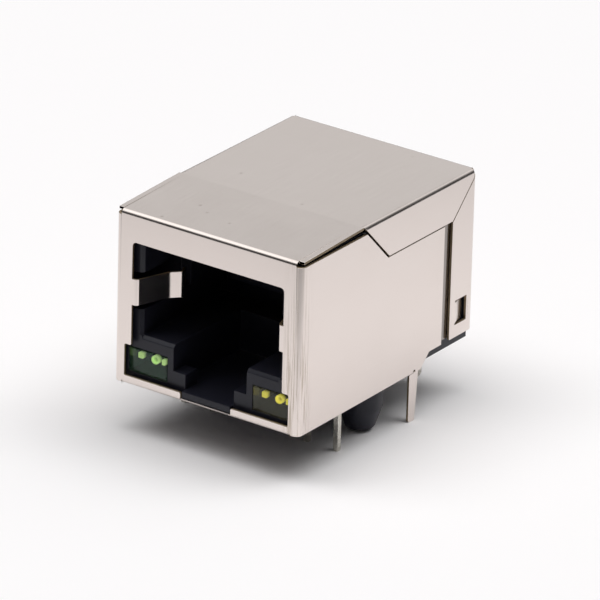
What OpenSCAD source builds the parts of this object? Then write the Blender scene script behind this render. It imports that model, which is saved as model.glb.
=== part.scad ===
// Right-angle RJ45 board jack with a folded sheet shield, two indicator lamps and magnetics inside.
// The origin is on the board surface, midway between the two locating pegs.
// +X is to the right seen from the mouth, +Y runs from the mouth to the rear, +Z is up.

/* [Overall] */
// Width across the shield's side walls
shield_w = 16; // [15.8:0.1:17]
// Height from the shield's lower edge to its top panel
shield_h = 13.4; // [13.3:0.1:14.6]
// Height of the shield's lower edge over the board
board_gap = 0.25; // [0.2:0.05:0.3]
// Distance from the front panel back to the locating pegs
peg_setback = 10.85; // [10.7:0.05:11]
// Distance from the locating pegs back to the rear panel
rear_reach = 10.45; // [10.35:0.05:13]

/* [Shield sheet] */
// Thickness of the sheet
sheet_t = 0.2; // [0.15:0.01:0.25]
// Outer radius of the front panel's upright bends
corner_r = 0.5; // [0.4:0.05:0.65]
// Outer radius of the fold between the top and the front panel
top_fold_r = 0.33; // [0.28:0.01:0.4]
// Outer radius of the fold between the top and the rear panel
rear_fold_r = 0.35; // [0.3:0.01:0.5]
// Outer radius of the folds between the top and its side flaps
side_fold_r = 0.3; // [0.26:0.01:0.4]
// Outer radius of the rear panel's upright bends
wing_fold_r = 0.4; // [0.3:0.05:0.5]
// How far the top panel comes down at its front
front_drop = 0.23; // [0:0.01:0.25]
// How far the top panel's free edges stay inside the side walls' faces
edge_inset = 0.05; // [0:0.01:0.2]
// Gap along the flap's sloping front edge
seam_gap = 0.15; // [0.08:0.01:0.25]
// Gap along the flap's lower and rear edges
hairline = 0.05; // [0.03:0.01:0.1]

/* [Shield sides] */
// Drop from the top panel to the side wall's upper edge
wall_drop = 0.62; // [0.5:0.01:0.8]
// Height of the side flap
flap_h = 3.2; // [2.5:0.1:3.6]
// Distance from the front panel to the flap's lower front corner
flap_front = 10.6; // [9.5:0.1:12]
// Depth of the rear panel's wing
wing_d = 2.9; // [2.8:0.05:3.2]
// Width of the upright slot between side wall and wing
slot_w = 0.95; // [0.7:0.05:1.2]
// Rise of the lower edge behind the legs
step_h = 1; // [0.6:0.1:1.2]
// Distance from the front panel to the start of that rise
step_front = 14.95; // [14.8:0.05:15.3]
// Depth of the wing's snap window
window_w = 1.4; // [1:0.1:1.5]
// Height of the wing's snap window
window_h = 1.85; // [1.4:0.05:2.2]
// Height of the window's lower edge over the shield's lower edge
window_low = 2; // [1.7:0.1:3]
// Distance from the wing's front edge to the window
window_front = 0.65; // [0.5:0.05:0.8]
// How far the window's snap tab is bent inwards at its end
tab_in = 0.3; // [0.2:0.01:0.35]
// Gap between the snap tab and the window's edges
tab_gap = 0.12; // [0.08:0.01:0.2]

/* [Shield legs] */
// Width of a leg
leg_w = 1; // [0.9:0.05:1.4]
// Length of a leg below the board surface
leg_len = 3.5; // [3:0.1:3.8]
// Distance of the legs behind the pegs
leg_behind = 3.3; // [3:0.05:3.4]
// How far the leg's front half is set inwards
leg_set = 0.08; // [0.05:0.01:0.18]
// How much narrower the leg is at its end
leg_taper = 0.3; // [0.1:0.05:0.4]
// Chamfer at the leg's end
leg_tip = 0.12; // [0.05:0.01:0.2]
// Radius of the relief at the crease's upper end
relief_r = 0.13; // [0.08:0.01:0.18]

/* [Shield mouth] */
// Width of the mouth
mouth_w = 13; // [12.6:0.1:13.4]
// Height of the mouth's upper edge over the shield's lower edge
mouth_top = 10.9; // [10.85:0.01:11.2]
// Corner radius of the mouth
mouth_r = 0.3; // [0.1:0.05:0.5]
// Corner radius of the mouth's smaller steps
step_r = 0.12; // [0.05:0.01:0.15]
// Margin outside a lamp in its window
lamp_margin = 0.075; // [0.03:0.005:0.15]
// Height of the lamp windows' upper edge over the shield's lower edge
lamp_window_top = 3; // [2.9:0.05:3.2]
// Height of the sill below the lamps
sill_h = 0.6; // [0.5:0.05:0.75]
// Width of the gap in the sill for the plug's latch
latch_gap_w = 4.32; // [4.2:0.02:4.6]
// Depth of the lip folded under the front
lip_d = 1.2; // [0.8:0.1:1.6]
// Outer radius of the lip's bend
lip_r = 0.25; // [0.22:0.01:0.4]
// How far the lip comes below the side walls
lip_drop = 0.06; // [0:0.01:0.1]

/* [Grounding springs] */
// Height of a spring's lower edge over the shield's lower edge
finger_low = 6.1; // [5.6:0.1:6.6]
// Width of a spring
finger_w = 2; // [1.5:0.1:2.4]
// How far the spring runs in the front panel's plane
finger_root = 0.4; // [0.35:0.05:0.5]
// Depth of the spring's ramp
ramp_d = 2.6; // [2:0.1:3]
// How far the ramp comes inwards
ramp_in = 0.95; // [0.6:0.05:1]
// Depth of the steeper nose
nose_d = 0.75; // [0.6:0.05:0.9]
// How far the nose comes inwards
nose_in = 0.7; // [0.4:0.05:0.8]
// Depth of the spring's tail
tail_d = 0.7; // [0.5:0.05:1.2]
// How far the tail goes back outwards
tail_out = 0.35; // [0.2:0.05:0.8]

/* [Housing] */
// Distance from the front panel back to the housing's face
face_setback = 0.5; // [0.45:0.01:0.6]
// Gap between the housing and the sheet round it
fit_gap = 0.1; // [0.08:0.01:0.15]
// Height of the housing's underside over the shield's lower edge
base_rise = 0.35; // [0.3:0.01:0.45]
// Width of the plug cavity
cavity_w = 11.8; // [11.7:0.05:12]
// Height of the cavity's floor over the shield's lower edge
cavity_floor = 3.75; // [3.6:0.05:3.9]
// Height of the cavity's ceiling over the shield's lower edge
cavity_top = 10.75; // [10.6:0.05:10.8]
// Distance from the front panel to the cavity's back wall
cavity_back = 10.6; // [10.5:0.05:10.8]
// Thickness of the wall behind the cavity
bulkhead_t = 0.75; // [0.6:0.05:1]
// Thickness of the wall between the keyway and a lamp's pocket
keyway_wall = 0.525; // [0.45:0.005:0.6]
// Height of the ledges beside the latch notch over the shield's lower edge
ledge_top = 1.8; // [1.5:0.05:2]
// Thickness of those ledges
ledge_t = 1.4; // [1:0.1:2]
// Width of the latch notch between the ledges
notch_w = 4.17; // [3.8:0.01:4.18]
// Height of the keyway's bottom over the shield's lower edge
keyway_low = 0.68; // [0.6:0.02:1]
// Gap between the front panel's plane and the nose that fills the latch gap
nose_gap = 0.06; // [0.02:0.01:0.1]
// Distance from the front panel to the keyway's end
keyway_back = 8.5; // [7:0.1:9]
// Bevel round the housing's mouth
mouth_bevel = 0.25; // [0.1:0.05:0.3]
// Gap above and below a grounding spring in its pocket
pocket_gap = 0.4; // [0.2:0.05:0.6]
// Depth of the pocket behind the cavity's side
pocket_deep = 0.85; // [0.8:0.05:1]
// Distance from the front panel to the pocket's end
pocket_back = 6.2; // [6:0.1:7]
// Thickness of the rear compartment's side walls
skirt_t = 1.3; // [1:0.05:1.4]
// Thickness of the rear compartment's roof
roof_t = 0.7; // [0.5:0.05:0.75]

/* [Locating pegs] */
// Distance between the pegs
peg_spacing = 11.43; // [11.2:0.01:11.6]
// Radius of a peg
peg_r = 1.6; // [1.5:0.01:1.62]
// Length of the straight part below the board surface
peg_straight = 1.6; // [1.2:0.1:2]
// Length of a peg below the board surface
peg_len = 3.2; // [2.6:0.1:3.3]
// Radius of a peg's tip
peg_tip_r = 1.07; // [0.8:0.01:1.3]
// Width of the seat pads beside the pegs
pad_w = 3.6; // [3.4:0.1:3.8]
// Depth of the seat pads
pad_d = 4.4; // [3.6:0.1:4.6]

/* [Indicator lamps] */
// Width of a lamp
lamp_w = 3.27; // [3.1:0.01:3.3]
// Height of a lamp
lamp_h = 1.85; // [1.7:0.05:1.9]
// Depth of a lamp
lamp_d = 4.6; // [4:0.1:4.8]
// Thickness of the housing's wall outside a lamp's pocket
lamp_wall = 0.655; // [0.6:0.005:0.68]
// Height of a lamp's underside over the shield's lower edge
lamp_low = 0.79; // [0.75:0.01:0.85]
// Distance from the front panel to a lamp's face
lamp_setback = 0.48; // [0.45:0.01:0.6]
// Gap round a lamp in its pocket
lamp_gap = 0.05; // [0.03:0.01:0.08]
// Side of a lamp lead's square section
lead_t = 0.4; // [0.36:0.01:0.5]
// Distance between a lamp's two leads
lead_pitch = 2.54; // [2.4:0.02:2.6]
// Distance of the lamp leads ahead of the pegs
lead_ahead = 4; // [3.9:0.05:4.2]
// Length of the lamp leads below the board surface
lead_len = 3.5; // [3:0.1:3.8]
// How far a lead is cranked forward below the housing
lead_crank = 0.1; // [0:0.02:0.3]
// Depth of resin over the lead frame
frame_depth = 0.85; // [0.6:0.05:1.2]
// Radius of the reflector cup
cup_r = 0.33; // [0.28:0.01:0.4]
// Gap between lead frame and resin
frame_gap = 0.02; // [0.01:0.01:0.03]

/* [Spring contacts] */
// Number of contacts
contact_count = 8; // [8]
// Distance between contacts
contact_pitch = 1.016; // [1:0.004:1.04]
// Width of a contact
contact_w = 0.4; // [0.3:0.02:0.46]
// Thickness of a contact
contact_t = 0.3; // [0.25:0.01:0.35]
// Distance from the front panel to the contacts' front fold
contact_fold = 2.8; // [2.6:0.1:3.2]
// Height of the contacts' straight run over the cavity's ceiling
contact_rise = 0.55; // [0.5:0.05:0.7]
// Height of the fold between the run and the sprung arm
fold_h = 1.1; // [1:0.05:1.3]
// Bend radius of the contacts' middle line
contact_r = 0.5; // [0.4:0.05:0.5]
// Height of the arms' free ends over the cavity's floor
arm_end = 3; // [2.6:0.1:3.4]
// Gap round a contact in its groove
groove_gap = 0.06; // [0.04:0.01:0.08]
// Width of the contact block
block_w = 10; // [9.6:0.1:10.4]
// Height of the contact block over the cavity's ceiling
block_h = 1.45; // [1.3:0.05:1.5]
// Distance from the front panel to the contact block
block_front = 3.4; // [3.4:0.1:4]
// Thickness of the comb that guides the free ends
comb_t = 0.75; // [0.6:0.05:0.8]
// Height of the comb's lower edge over the cavity's floor
comb_low = 1.5; // [1:0.1:2]

/* [Signal pins] */
// Side of a signal pin's square section
pin_t = 0.5; // [0.4:0.01:0.55]
// Distance between neighbouring pins across the jack
pin_pitch = 1.27; // [1.2:0.01:1.3]
// Distance between the two pin rows
row_pitch = 2.54; // [2.5:0.01:2.6]
// Distance of the first pin row behind the pegs
row_behind = 6.35; // [6.2:0.01:6.4]
// Length of the signal pins below the board surface
pin_len = 3; // [2.6:0.1:3.5]
// Gap round a pin in the coil carrier
pin_gap = 0.03; // [0.02:0.01:0.05]
// Length of the pins above the inner circuit board
pin_top = 0.4; // [0.2:0.05:0.6]
// Radius of the inner circuit board's pin holes
pin_hole_r = 0.42; // [0.4:0.01:0.5]

/* [Magnetics] */
// Thickness of the inner circuit board
board_t = 0.6; // [0.4:0.05:0.8]
// Height of the coil carrier
carrier_h = 9.3; // [9:0.1:9.6]
// Gap round the coil carrier
carrier_gap = 0.1; // [0.05:0.01:0.15]
// Outer radius of a ring core
core_r = 1.5; // [1.2:0.05:1.55]
// Inner radius of a ring core
core_bore_r = 0.6; // [0.4:0.05:0.8]
// Thickness of a ring core
core_t = 1.6; // [1.2:0.1:1.8]
// Thickness of the walls between the coil pockets
cell_wall = 0.6; // [0.5:0.05:0.7]
// Gap between a core and its pocket
core_gap = 0.15; // [0.1:0.05:0.3]
// Length of the termination capacitor
cap_l = 4.5; // [3:0.1:4.6]
// Width of the termination capacitor
cap_w = 1.6; // [1.2:0.1:2]
// Height of the termination capacitor
cap_h = 1.2; // [0.8:0.1:1.3]
// Length of a termination resistor
chip_l = 1.6; // [1:0.1:1.8]
// Width of a termination resistor
chip_w = 0.8; // [0.5:0.1:0.9]
// Height of a termination resistor
chip_h = 0.45; // [0.3:0.05:0.6]
// Distance between the resistors
chip_pitch = 1.4; // [1.1:0.1:1.5]

/* [Hidden] */
$fn = 48;
// Straight pieces in each rounded corner of an outline
arc_steps = 6;
// Overlap that joins solids of one piece
join = 0.01;
// Reach of a cut past the face that it opens
over = 1;

silver = [0.84, 0.8, 0.78];
black = [0.07, 0.07, 0.08];
gold = [0.83, 0.68, 0.36];
tin = [0.78, 0.76, 0.72];

// Shield planes
half_w = shield_w / 2;
front_y = -peg_setback;
rear_y = rear_reach;
base_z = board_gap;
top_z = base_z + shield_h;
fore_z = top_z - front_drop;
wall_top_z = top_z - wall_drop;
flap_low_z = top_z - flap_h;
flap_y = front_y + flap_front;
slope_y = flap_y - flap_h;
wing_y = rear_y - wing_d;
wall_rear_y = wing_y - slot_w;
step_y = front_y + step_front;
rear_low_z = base_z + step_h;
window_y = wing_y + window_front;
window_z = base_z + window_low;
lip_half = half_w - corner_r - lip_d / 6;
lip_z = base_z - lip_drop;

// Housing planes
housing_x = half_w - sheet_t - fit_gap;
face_y = front_y + face_setback;
housing_rear_y = rear_y - sheet_t - fit_gap;
housing_z = base_z + base_rise;
housing_top_z = fore_z - sheet_t - fit_gap;
floor_z = base_z + cavity_floor;
ceiling_z = base_z + cavity_top;
cavity_back_y = front_y + cavity_back;
compartment_y = cavity_back_y + bulkhead_t;
compartment_x = housing_x - skirt_t;
compartment_top_z = housing_top_z - roof_t;
keyway_z = base_z + keyway_low;
ledge_z = base_z + ledge_top;
finger_z = base_z + finger_low;
peg_x = peg_spacing / 2;

// Contact planes
block_top_z = ceiling_z + block_h;
block_rear_y = compartment_y - carrier_gap;
comb_y = cavity_back_y - fit_gap - comb_t;
run_z = ceiling_z + contact_rise;
fold_y = front_y + contact_fold;
arm_end_y = comb_y + comb_t / 2;
arm_end_z = floor_z + arm_end;
tail_y = compartment_y + 1;

// Magnetics planes
carrier_x = compartment_x - carrier_gap;
carrier_y = compartment_y + carrier_gap;
carrier_rear_y = housing_rear_y - carrier_gap;
carrier_top_z = housing_z + carrier_h;
board_top_z = carrier_top_z + board_t;
cell_cols = 4;
cell_rows = 2;
cell_w = (2 * carrier_x - (cell_cols + 1) * cell_wall) / cell_cols;
cell_h = (carrier_h - (cell_rows + 1) * cell_wall) / cell_rows;
cell_d = 2 * (core_r + core_gap);
chip_y = (tail_y + row_behind) / 2;

// Lamp planes
lamp_x = housing_x - lamp_wall - lamp_gap - lamp_w / 2;
keyway_x = lamp_x - lamp_w / 2 - lamp_gap - keyway_wall;
lamp_y = front_y + lamp_setback;
lamp_z = base_z + lamp_low;
lamp_mid_z = lamp_z + lamp_h / 2;
lamp_back_y = lamp_y + lamp_d;
frame_y = lamp_y + frame_depth;
lead_y = -lead_ahead;
prong_x = 0.72;
prong_t = 0.26;
yoke_y = frame_y + 1;

// ---- Outline helpers ----

function unit(v) = v / norm(v);
function left_of(v) = [-v[1], v[0]];
function turned(a) = a > 180 ? a - 360 : a < -180 ? a + 360 : a;

// Points of the arc of radius r that rounds corner b between a and c
function corner(a, b, c, r) =
    let (
        u = unit(a - b),
        w = unit(c - b),
        half = acos(u * w) / 2,
        hub = b + unit(u + w) * r / sin(half),
        from = b + u * r / tan(half) - hub,
        to = b + w * r / tan(half) - hub,
        start = atan2(from[1], from[0]),
        sweep = turned(atan2(to[1], to[0]) - start)
    )
    [for (i = [0:arc_steps]) let (a = start + sweep * i / arc_steps) hub + r * [cos(a), sin(a)]];

// Open path whose inner corners take the radii in r, where 0 stays sharp
function soft_path(p, r) = [
    p[0],
    for (i = [1:len(p) - 2]) each r[i - 1] > 0 ? corner(p[i - 1], p[i], p[i + 1], r[i - 1]) : [p[i]],
    p[len(p) - 1]
];

// Closed outline whose corners take the radii in r, where 0 stays sharp
function soft_loop(p, r) =
    let (n = len(p))
    [for (i = [0:n - 1]) each r[i] > 0 ? corner(p[(i + n - 1) % n], p[i], p[(i + 1) % n], r[i]) : [p[i]]];

// Mitred normal of path p at point i, to its left
function path_normal(p, i) =
    let (
        before = left_of(unit(i > 0 ? p[i] - p[i - 1] : p[1] - p[0])),
        after = left_of(unit(i < len(p) - 1 ? p[i + 1] - p[i] : p[i] - p[i - 1])),
        mid = unit(before + after)
    )
    mid / (mid * before);

// Outline of a strip of thickness t to the left of path p, or to its right where t is negative
function strip(p, t) = concat(p, [for (i = [len(p) - 1:-1:0]) p[i] + t * path_normal(p, i)]);

// Outline of a strip of thickness t that is centred on path p
function wire(p, t) =
    concat(
        [for (i = [0:len(p) - 1]) p[i] - t / 2 * path_normal(p, i)],
        [for (i = [len(p) - 1:-1:0]) p[i] + t / 2 * path_normal(p, i)]
    );

// Carries a (y, z) outline along x, centred on x
module across(w, x = 0) {
    translate([x, 0, 0]) rotate([90, 0, 90]) linear_extrude(w, center = true) children();
}

// Carries an (x, z) outline from y0 to y1
module through(y0, y1) {
    translate([0, y1, 0]) rotate([90, 0, 0]) linear_extrude(y1 - y0) children();
}

// Carries an (x, y) outline from z0 to z1
module upright(z0, z1) {
    translate([0, 0, z0]) linear_extrude(z1 - z0) children();
}

module block(low, high) {
    translate(low) cube(high - low);
}

module both_sides() {
    children();
    mirror([1, 0, 0]) children();
}

// ---- Shield: one folded sheet ----

// Plan area inside the front panel and the side walls, shrunk by inset
module wrap_area(inset, end_y) {
    side = half_w - inset;
    mid = half_w - corner_r;
    bend_y = front_y + corner_r;
    translate([-side, bend_y]) square([2 * side, end_y - bend_y]);
    translate([-mid, front_y + inset]) square([2 * mid, corner_r]);
    for (s = [-1, 1]) translate([s * mid, bend_y]) circle(r = corner_r - inset);
}

// Side view of the front panel and the side walls
module wall_outline() {
    slant = seam_gap * sqrt(2);
    under_z = flap_low_z - hairline;
    points = [
        [front_y - over, base_z],
        [step_y, base_z],
        [step_y + step_h, rear_low_z],
        [wall_rear_y, rear_low_z],
        [wall_rear_y, under_z],
        [flap_y - slant + hairline, under_z],
        [flap_y - slant - (wall_top_z - flap_low_z), wall_top_z],
        [front_y - over, wall_top_z]
    ];
    polygon(soft_loop(points, [0, 0.2, 0.2, 0, 0, 0.1, 0.35, 0]));
}

module wrap() {
    difference() {
        intersection() {
            upright(base_z - over, top_z) difference() {
                wrap_area(0, rear_y);
                wrap_area(sheet_t, rear_y + over);
            }
            across(shield_w + 2 * over) wall_outline();
        }
        block([-lip_half, front_y - over, base_z - over], [lip_half, front_y + corner_r, base_z + lip_r]);
        translate([0, leg_behind, base_z + leg_set]) rotate([0, 90, 0])
            cylinder(r = relief_r, h = shield_w + over, center = true);
    }
}

// Lip that folds the foot of the front panel under the housing
module lip() {
    path = [[front_y, base_z + lip_r + join], [front_y, lip_z], [front_y + lip_d, lip_z]];
    across(2 * lip_half) polygon(strip(soft_path(path, [lip_r]), sheet_t));
}

// Front view of the mouth with its lamp windows and the latch gap
module mouth_outline() {
    m = mouth_w / 2;
    l = lamp_x + lamp_w / 2 + lamp_margin;
    g = latch_gap_w / 2;
    top = base_z + mouth_top;
    lamp = base_z + lamp_window_top;
    sill = base_z + sill_h;
    low = lip_z + sheet_t;
    points = [
        [-m, top], [m, top], [m, lamp], [l, lamp], [l, sill], [g, sill],
        [g, low], [-g, low], [-g, sill], [-l, sill], [-l, lamp], [-m, lamp]
    ];
    radii = [
        mouth_r, mouth_r, step_r, step_r, step_r, step_r,
        0, 0, step_r, step_r, step_r, step_r
    ];
    polygon(soft_loop(points, radii));
}

// Front fold, top, rear fold and rear panel
module spine() {
    path = [
        [front_y, wall_top_z - over / 2],
        [front_y, fore_z],
        [slope_y, top_z],
        [rear_y, top_z],
        [rear_y, rear_low_z]
    ];
    across(2 * (half_w - corner_r)) polygon(strip(soft_path(path, [top_fold_r, 0, rear_fold_r]), -sheet_t));
}

// Outer parts of the top: the sloping fore part with its free edges, and the level rear part
module top_sides() {
    fore_y = front_y + top_fold_r;
    fore = [[fore_y, fore_z], [slope_y, top_z], [slope_y, top_z - sheet_t], [fore_y, fore_z - sheet_t]];
    across(2 * (half_w - edge_inset)) polygon(fore);
    rear = [[slope_y - join, top_z], [rear_y, top_z], [rear_y, top_z - rear_fold_r]];
    across(2 * (half_w - side_fold_r)) polygon(strip(soft_path(rear, [rear_fold_r * 0.999]), -sheet_t));
}

// Flap that folds down from the top beside the housing
module flap() {
    rise = flap_h + over;
    points = [
        [flap_y, flap_low_z],
        [wing_y, flap_low_z],
        [wing_y + rise, flap_low_z + rise],
        [flap_y - rise, flap_low_z + rise]
    ];
    path = [[half_w - side_fold_r - join, top_z], [half_w, top_z], [half_w, flap_low_z]];
    intersection() {
        through(slope_y, rear_y - rear_fold_r) polygon(strip(soft_path(path, [side_fold_r]), -sheet_t));
        across(shield_w + 2 * over) polygon(soft_loop(points, [0.3, 0, 0, 0]));
    }
}

// Wing of the rear panel with its window and the snap tab that is bent into the window
module wing() {
    low = flap_low_z - hairline * sqrt(2);
    points = [
        [wing_y, rear_low_z],
        [rear_y + over, rear_low_z],
        [rear_y + over, low + wing_d + over],
        [wing_y, low]
    ];
    path = [[half_w, wing_y], [half_w, rear_y], [half_w - corner_r - join, rear_y]];
    difference() {
        intersection() {
            upright(rear_low_z, top_z - rear_fold_r)
                polygon(strip(soft_path(path, [wing_fold_r]), sheet_t));
            across(shield_w + 2 * over) polygon(soft_loop(points, [0.1, 0, 0, 0]));
        }
        block(
            [half_w - sheet_t - join, window_y, window_z],
            [half_w + over, window_y + window_w, window_z + window_h]
        );
    }
    tab = [
        [half_w, window_y - tab_gap],
        [half_w, window_y],
        [half_w - tab_in, window_y + window_w - tab_gap]
    ];
    upright(window_z + tab_gap, window_z + window_h - tab_gap) polygon(strip(tab, sheet_t));
}

// Leg with a crease down its middle, narrowing from behind
module leg() {
    front = leg_behind - leg_w / 2;
    rear = leg_behind + leg_w / 2;
    path = [[half_w - leg_set, front], [half_w, leg_behind], [half_w, rear]];
    side = [
        [front, base_z + leg_set],
        [rear, base_z + leg_set],
        [rear - leg_taper, -leg_len + leg_tip],
        [rear - leg_taper - leg_tip, -leg_len],
        [front + leg_tip, -leg_len],
        [front, -leg_len + leg_tip]
    ];
    intersection() {
        upright(-leg_len, base_z + leg_set) polygon(strip(path, sheet_t));
        across(shield_w + 2 * over) polygon(side);
    }
}

// Grounding spring: a tab of the front panel that is folded into the mouth
module finger() {
    edge = mouth_w / 2;
    root = edge - finger_root;
    path = [
        [edge + join, front_y],
        [root, front_y],
        [root - ramp_in, front_y + ramp_d],
        [root - ramp_in - nose_in, front_y + ramp_d + nose_d],
        [root - ramp_in - nose_in + tail_out, front_y + ramp_d + nose_d + tail_d]
    ];
    upright(finger_z, finger_z + finger_w) polygon(strip(soft_path(path, [0.35, 1, 0.3]), -sheet_t));
}

module shield() {
    color(silver) {
        difference() {
            union() {
                wrap();
                lip();
                spine();
            }
            through(front_y - over, front_y + lip_r + join) mouth_outline();
        }
        top_sides();
        both_sides() {
            flap();
            wing();
            leg();
            finger();
        }
    }
}

// ---- Housing: one moulding ----

module housing_solid() {
    block([-housing_x, face_y, housing_z], [housing_x, housing_rear_y, housing_top_z]);
    block(
        [-notch_w / 2, front_y + nose_gap, lip_z + sheet_t + nose_gap],
        [notch_w / 2, face_y + join, keyway_z]
    );
    both_sides() {
        block(
            [housing_x - pad_w, -pad_d / 2, 0],
            [housing_x, pad_d / 2, housing_z + join]
        );
        translate([peg_x, 0, -peg_straight]) cylinder(r = peg_r, h = peg_straight + join);
        translate([peg_x, 0, -peg_len]) cylinder(r1 = peg_tip_r, r2 = peg_r, h = peg_len - peg_straight);
    }
}

// Plug cavity, keyway and latch notch, with the bevel round the mouth
module cavity() {
    c = cavity_w / 2;
    b = mouth_bevel;
    block([-c, face_y - over, floor_z], [c, cavity_back_y, ceiling_z]);
    block([-keyway_x, face_y + ledge_t, keyway_z], [keyway_x, front_y + keyway_back, floor_z + join]);
    block([-keyway_x, face_y - over, ledge_z], [keyway_x, face_y + ledge_t + join, floor_z + join]);
    block([-notch_w / 2, face_y - over, keyway_z], [notch_w / 2, face_y + ledge_t + join, ledge_z + join]);
    sill = [[face_y - join, floor_z - b], [face_y + b, floor_z + join], [face_y - join, floor_z + join]];
    across(cavity_w) polygon(sill);
    both_sides() upright(floor_z, ceiling_z)
        polygon([[c + b, face_y - join], [c - join, face_y + b], [c - join, face_y - join]]);
}

// Pockets of the grounding springs, the lamps, the lamp leads and the snap tabs
module side_pockets() {
    block(
        [cavity_w / 2 - join, face_y - over, finger_z - pocket_gap],
        [cavity_w / 2 + pocket_deep, front_y + pocket_back, finger_z + finger_w + pocket_gap]
    );
    lamp = lamp_w / 2 + lamp_gap;
    block(
        [lamp_x - lamp, face_y - over, lamp_z - lamp_gap],
        [lamp_x + lamp, lamp_back_y + lamp_gap, lamp_z + lamp_h + lamp_gap]
    );
    well = (lead_pitch + lead_t) / 2 + lamp_gap;
    block(
        [lamp_x - well, lamp_back_y, housing_z - over],
        [lamp_x + well, lead_y + lead_t, lamp_mid_z + lead_t]
    );
    block(
        [housing_x - tab_in, window_y, window_z],
        [housing_x + over, window_y + window_w + tab_gap, window_z + window_h]
    );
}

// Recess of the contact block and the compartment of the magnetics
module rear_spaces() {
    side = block_w / 2 + fit_gap;
    block(
        [-side, fold_y - contact_r - fit_gap, ceiling_z - join],
        [side, compartment_y + join, block_top_z + fit_gap]
    );
    block(
        [-compartment_x, compartment_y, housing_z - over],
        [compartment_x, housing_rear_y + over, compartment_top_z]
    );
}

module housing() {
    color(black) difference() {
        housing_solid();
        cavity();
        both_sides() side_pockets();
        rear_spaces();
    }
}

// ---- Contact block and its spring contacts ----

function contact_x(i) = (i - (contact_count - 1) / 2) * contact_pitch;

module contact_block() {
    side = block_w / 2;
    slot = contact_w + 2 * groove_gap;
    color(black) difference() {
        union() {
            block([-side, front_y + block_front, ceiling_z + fit_gap], [side, block_rear_y, block_top_z]);
            block([-side, comb_y, floor_z + comb_low], [side, comb_y + comb_t, ceiling_z + 2 * fit_gap]);
        }
        for (i = [0:contact_count - 1]) {
            across(slot, contact_x(i)) polygon([
                [front_y + block_front - over, ceiling_z - over],
                [block_rear_y + over, ceiling_z - over],
                [block_rear_y + over, run_z + contact_t / 2 + groove_gap],
                [front_y + block_front - over, run_z + contact_t / 2 + groove_gap]
            ]);
            across(slot, contact_x(i)) polygon([
                [comb_y - over, floor_z + comb_low + over],
                [comb_y + comb_t + over, floor_z + comb_low + over],
                [comb_y + comb_t + over, ceiling_z],
                [comb_y - over, ceiling_z]
            ]);
        }
    }
}

module contact(i) {
    path = [
        [tail_y, board_top_z],
        [tail_y, run_z],
        [fold_y, run_z],
        [fold_y, run_z - fold_h],
        [arm_end_y, arm_end_z]
    ];
    color(gold) across(contact_w, contact_x(i))
        polygon(wire(soft_path(path, [contact_r, contact_r, contact_r]), contact_t));
}

// ---- Inner circuit board and magnetics ----

// The pins zigzag between the two rows
function pin_at(i) = [(i - 3.5) * pin_pitch, row_behind + (i % 2) * row_pitch];

module circuit_board() {
    color([0.1, 0.4, 0.2]) difference() {
        block([-carrier_x, carrier_y, carrier_top_z], [carrier_x, carrier_rear_y, board_top_z]);
        for (i = [0:7]) translate([pin_at(i)[0], pin_at(i)[1], carrier_top_z - over])
            cylinder(r = pin_hole_r, h = board_t + 2 * over);
    }
}

module resistor(i) {
    x = -(carrier_x - chip_w) + i * chip_pitch;
    color([0.1, 0.1, 0.1]) block(
        [x - chip_w / 2, chip_y - chip_l / 2, board_top_z],
        [x + chip_w / 2, chip_y + chip_l / 2, board_top_z + chip_h]
    );
}

module capacitor() {
    right = carrier_x - chip_w;
    color([0.7, 0.6, 0.45]) block(
        [right - cap_l, chip_y - cap_w / 2, board_top_z],
        [right, chip_y + cap_w / 2, board_top_z + cap_h]
    );
}

// Centre of coil pocket k, counted along the lower row and then the upper row
function cell_at(k) = [
    -carrier_x + cell_wall + cell_w / 2 + (k % cell_cols) * (cell_w + cell_wall),
    carrier_y + cell_d / 2,
    housing_z + cell_wall + cell_h / 2 + floor(k / cell_cols) * (cell_h + cell_wall)
];

module coil_carrier() {
    hole = pin_t + 2 * pin_gap;
    color([0.16, 0.16, 0.17]) difference() {
        block([-carrier_x, carrier_y, housing_z], [carrier_x, carrier_rear_y, carrier_top_z]);
        for (k = [0:cell_cols * cell_rows - 1]) translate(cell_at(k) - [0, over / 2, 0])
            cube([cell_w, cell_d + over, cell_h], center = true);
        for (i = [0:7]) translate([pin_at(i)[0] - hole / 2, pin_at(i)[1] - hole / 2, housing_z - over])
            cube([hole, hole, carrier_h + 2 * over]);
    }
}

// Wound ring core lying against the floor of its pocket
module ring_core(k) {
    at = cell_at(k);
    color([0.62, 0.32, 0.16]) translate([at[0], at[1], at[2] - cell_h / 2 + core_r]) rotate([0, 90, 0])
        rotate_extrude() translate([core_bore_r, -core_t / 2]) square([core_r - core_bore_r, core_t]);
}

module signal_pin(i) {
    at = pin_at(i);
    color(tin) block(
        [at[0] - pin_t / 2, at[1] - pin_t / 2, -pin_len],
        [at[0] + pin_t / 2, at[1] + pin_t / 2, board_top_z + pin_top]
    );
}

// ---- Indicator lamps ----

// Side view of a lead from y to its tip below the board, cranked forward where it leaves the housing
module lead(x, y, grow) {
    path = [
        [y, lamp_mid_z],
        [lead_y, lamp_mid_z],
        [lead_y, 0],
        [lead_y - lead_crank, -lead_crank * 2],
        [lead_y - lead_crank, -lead_len]
    ];
    across(lead_t + 2 * grow, x) polygon(wire(soft_path(path, [0.4, 0, 0]), lead_t + 2 * grow));
}

// Lead that ends in a plain post behind the lamp's face
module post_lead(x, grow = 0) {
    lead(x - lead_pitch / 2, frame_y - grow, grow);
}

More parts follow.
